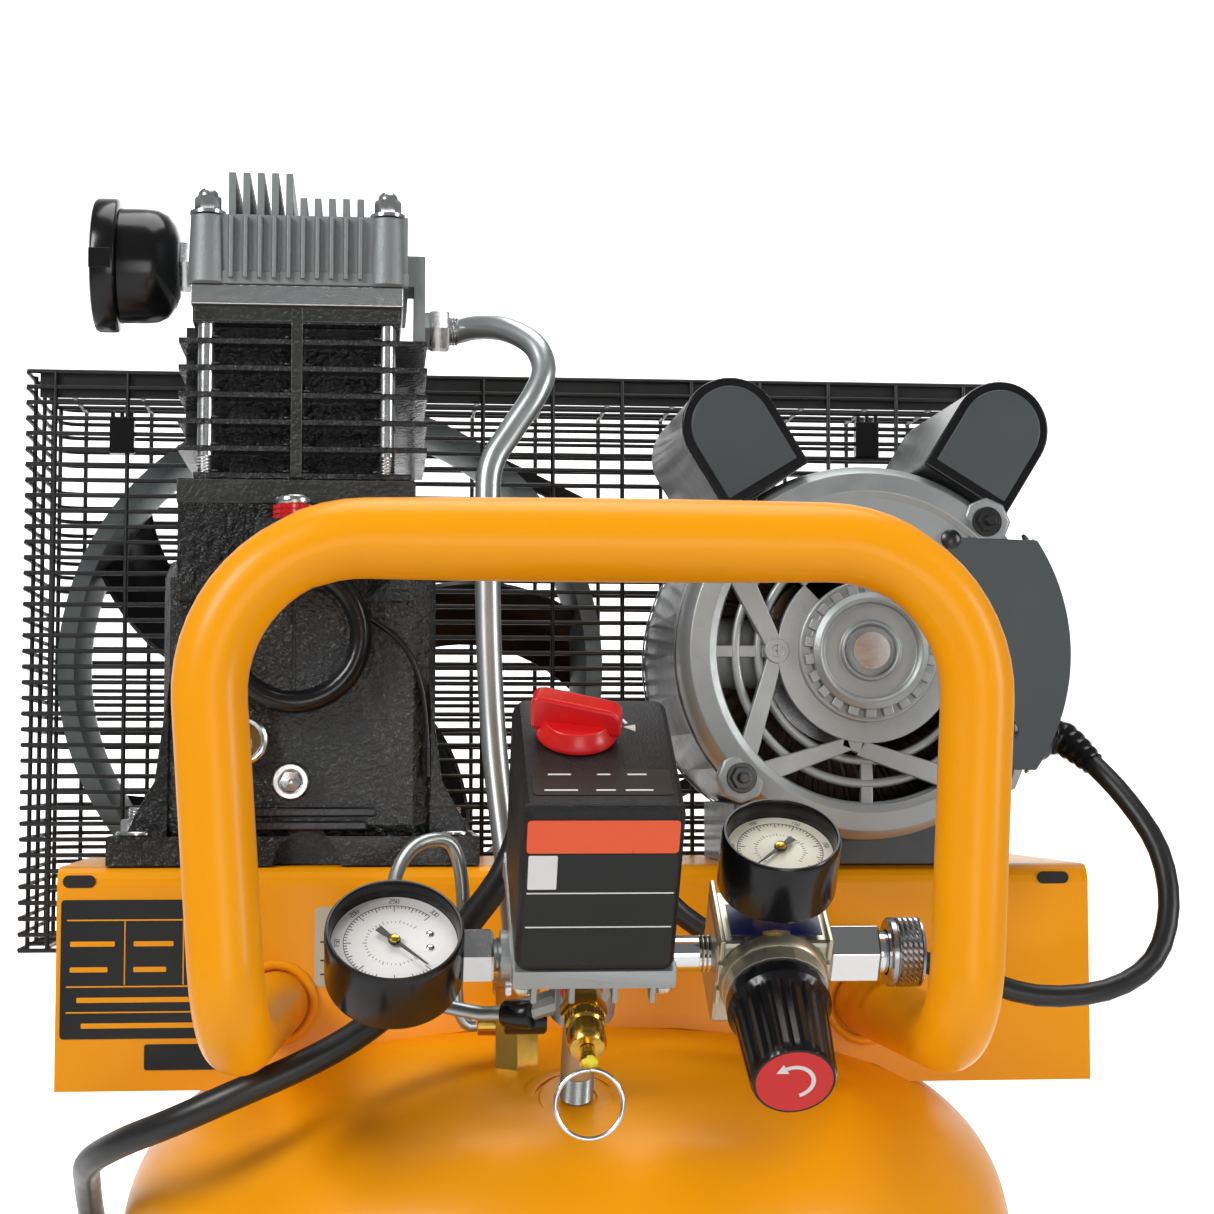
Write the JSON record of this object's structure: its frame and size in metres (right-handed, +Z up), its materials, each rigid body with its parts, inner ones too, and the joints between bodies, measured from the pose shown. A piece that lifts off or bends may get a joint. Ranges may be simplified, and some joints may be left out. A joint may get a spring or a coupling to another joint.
{
  "type": "upright belt-drive air compressor",
  "caption": "Wheeled upright air compressor with a belt-drive pump and motor on a yellow tank, pressure controls and a tube handle.",
  "frame": {"origin": "on the floor, under the middle of the box of the object without its power cord and plug", "axes": "+Z up, -Y towards the handle, controls and wheels, +X to the right of a person facing the controls"},
  "size_m": [0.528, 0.4844, 1.282],
  "materials": {
    "yellow_paint": "satin",
    "black_cast": "gloss",
    "grey_cast": "as cast",
    "light_grey_cast": "as cast",
    "dark_grey_paint": "satin",
    "bright_steel": "polished",
    "shaft_steel": "machined",
    "aluminium_tube": "satin",
    "brass": "satin",
    "black_plastic": "pebbled",
    "red_plastic": "satin",
    "satin_nickel": "satin",
    "black_rubber": "matte",
    "tyre_rubber": "matte",
    "sight_glass": "clear",
    "copper_winding": "enamelled"
  },
  "bodies": {
    "frame": {"tank": "yellow_paint", "deck": "yellow_paint", "handle": "yellow_paint", "rear_foot": "yellow_paint", "axle_bracket_left": "yellow_paint", "axle_bracket_right": "yellow_paint", "drain_valve_body": "brass", "crankcase": "black_cast", "oil_sight_glass": "sight_glass", "oil_drain_plug": "bright_steel", "cylinder_block": "black_cast", "valve_plate": "bright_steel", "cylinder_head": "grey_cast", "intake_filter_housing": "black_plastic", "intake_filter_lid": "black_plastic", "discharge_tube": "aluminium_tube", "check_valve": "brass", "unloader_tube": "aluminium_tube", "drive_belt": "black_rubber", "motor_shell": "dark_grey_paint", "motor_front_bell": "light_grey_cast", "motor_stator": "copper_winding", "capacitor_cover_left": "dark_grey_paint", "capacitor_cover_right": "dark_grey_paint", "wiring_cover": "dark_grey_paint", "belt_guard_inner": "black_cast", "belt_guard_outer": "black_cast", "tank_pipe": "shaft_steel", "switch_base": "grey_cast", "switch_cover": "black_plastic", "power_cord_gland": "black_plastic", "tank_gauge": "black_plastic", "regulator_gauge": "black_plastic", "regulator_body": "satin_nickel", "coupler_body": "bright_steel", "safety_valve_body": "brass", "motor_lead": "black_rubber", "power_cord": "black_rubber", "power_plug": "black_rubber", "head_stud_1": "bright_steel", "head_stud_2": "bright_steel", "head_stud_3": "bright_steel", "head_stud_4": "bright_steel"},
    "wheel_left_body": {"wheel_left": "tyre_rubber"},
    "wheel_right_body": {"wheel_right": "tyre_rubber"},
    "drain_tap_body": {"drain_valve_tap": "brass"},
    "oil_plug_body": {"oil_fill_plug": "red_plastic"},
    "piston_body": {"piston": "aluminium_tube"},
    "crank_body": {"crankshaft": "shaft_steel", "flywheel": "black_cast"},
    "motor_body": {"motor_rotor": "shaft_steel", "motor_pulley": "grey_cast"},
    "switch_knob_body": {"switch_knob": "red_plastic"},
    "tank_pointer_body": {"tank_gauge_pointer": "black_plastic"},
    "regulator_pointer_body": {"regulator_gauge_pointer": "black_plastic"},
    "regulator_spindle_body": {"regulator_spindle": "shaft_steel"},
    "regulator_knob_body": {"regulator_knob": "black_plastic"},
    "coupler_sleeve_body": {"coupler_sleeve": "bright_steel"},
    "safety_stem_body": {"safety_valve_stem": "brass"},
    "safety_ring_body": {"safety_valve_ring": "bright_steel"}
  },
  "joints": [
    {"name": "wheel_left_spin", "type": "hinge", "parent": "frame", "child": "wheel_left_body", "pos_m": [-0.236, -0.0818, 0.125], "axis": [1, 0, 0], "continuous": true},
    {"name": "wheel_right_spin", "type": "hinge", "parent": "frame", "child": "wheel_right_body", "pos_m": [0.236, -0.0818, 0.125], "axis": [1, 0, 0], "continuous": true},
    {"name": "drain_tap_turn", "type": "hinge", "parent": "frame", "child": "drain_tap_body", "pos_m": [0, 0.0182, 0.0464], "axis": [0, 0, 1], "range_deg": [0, 270]},
    {"name": "oil_plug_pull", "type": "slide", "parent": "frame", "child": "oil_plug_body", "axis": [0, 0, 1], "range_m": [0, 0.015]},
    {"name": "piston_stroke", "type": "slide", "parent": "frame", "child": "piston_body", "axis": [0, 0, 1], "range_m": [-0.022, 0.022]},
    {"name": "flywheel_spin", "type": "hinge", "parent": "frame", "child": "crank_body", "pos_m": [-0.11, 0.1552, 1.0666], "axis": [0, 1, 0], "continuous": true},
    {"name": "motor_spin", "type": "hinge", "parent": "frame", "child": "motor_body", "pos_m": [0.1245, 0.1552, 1.0666], "axis": [0, 1, 0], "continuous": true},
    {"name": "switch_knob_turn", "type": "hinge", "parent": "frame", "child": "switch_knob_body", "pos_m": [-0.0153, -0.20417, 1.02827], "axis": [0, -0.5446, 0.8387], "range_deg": [0, 75]},
    {"name": "tank_pointer_turn", "type": "hinge", "parent": "frame", "child": "tank_pointer_body", "pos_m": [-0.0813, -0.16994, 0.95108], "axis": [0, -0.682, 0.7314], "range_deg": [-270, 0]},
    {"name": "regulator_pointer_turn", "type": "hinge", "parent": "frame", "child": "regulator_pointer_body", "pos_m": [0.0625, -0.19437, 0.98657], "axis": [0, -0.5878, 0.809], "range_deg": [-270, 0]},
    {"name": "regulator_knob_pull", "type": "slide", "parent": "frame", "child": "regulator_spindle_body", "axis": [0, -0.809, -0.5878], "range_m": [0, 0.003]},
    {"name": "regulator_knob_turn", "type": "hinge", "parent": "regulator_spindle_body", "child": "regulator_knob_body", "pos_m": [0.0625, -0.18508, 0.92904], "axis": [0, -0.809, -0.5878], "range_deg": [-360, 360]},
    {"name": "coupler_sleeve_slide", "type": "slide", "parent": "frame", "child": "coupler_sleeve_body", "axis": [-1, 0, 0], "range_m": [0, 0.003], "stiffness_N_per_m": 2500, "springref_m": -0.001},
    {"name": "safety_stem_pull", "type": "slide", "parent": "frame", "child": "safety_stem_body", "axis": [0, -0.788, -0.6157], "range_m": [0, 0.002], "stiffness_N_per_m": 3000, "springref_m": -0.001},
    {"name": "safety_ring_swing", "type": "hinge", "parent": "safety_stem_body", "child": "safety_ring_body", "pos_m": [-0.0103, -0.20354, 0.9056], "axis": [1, 0, 0], "range_deg": [-25, 25]}
  ],
  "couplings": [
    {"joint": "motor_spin", "follows": "flywheel_spin", "ratio": 4.15}
  ]
}
